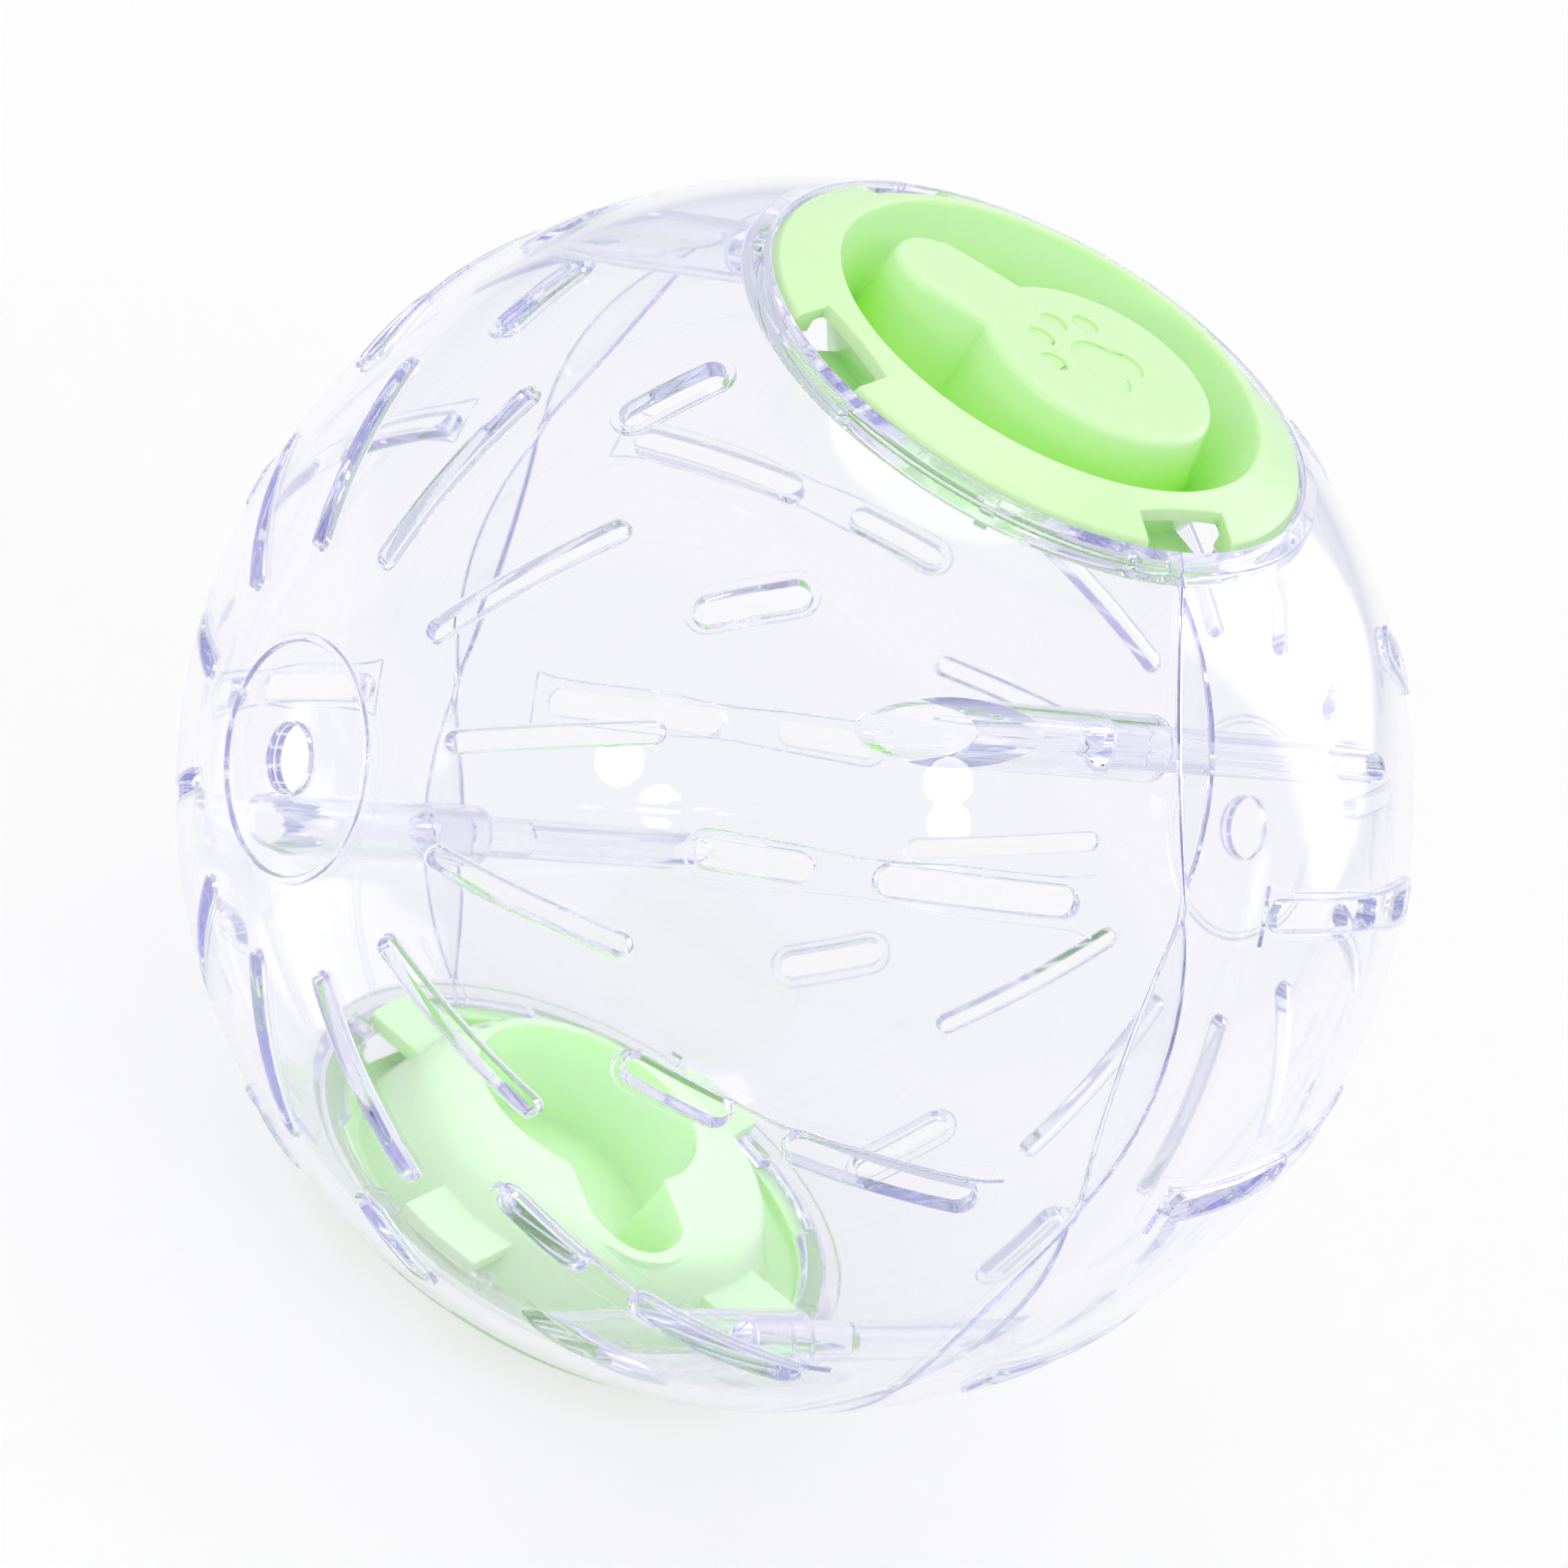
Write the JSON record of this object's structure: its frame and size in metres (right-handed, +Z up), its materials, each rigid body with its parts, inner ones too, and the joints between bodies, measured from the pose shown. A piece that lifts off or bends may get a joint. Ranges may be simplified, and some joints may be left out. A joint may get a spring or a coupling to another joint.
{
  "type": "hamster ball",
  "caption": "Clear plastic ball in two pinned half shells with air slots, and a green bayonet lid with a finger grip above and below.",
  "frame": {"origin": "centre of the ball, which is the centre of the whole part's box", "axes": "+Z up through the upper lid, X through the two pole holes with the pinned right shell at +X, and the lower lid's grip face at the lowest Z"},
  "size_m": [0.1398, 0.14, 0.1328],
  "materials": {
    "clear_shell": "clear, polished",
    "green_lid": "apple green, satin"
  },
  "bodies": {
    "left": {"left_shell": "clear_shell"},
    "right": {"right_shell": "clear_shell"},
    "upper": {"upper_lid": "green_lid"},
    "lower": {"lower_lid": "green_lid"}
  },
  "joints": [
    {"name": "right_shell_pull", "type": "slide", "parent": "left", "child": "right", "axis": [1, 0, 0], "range_m": [0, 0.06]},
    {"name": "upper_lid_lift", "type": "slide", "parent": "left", "child": "upper", "axis": [0, 0, 1], "range_m": [0, 0.05]},
    {"name": "lower_lid_turn", "type": "hinge", "parent": "left", "child": "lower", "pos_m": [0, 0, -0.06], "axis": [0, 0, -1], "range_deg": [0, 30]}
  ]
}
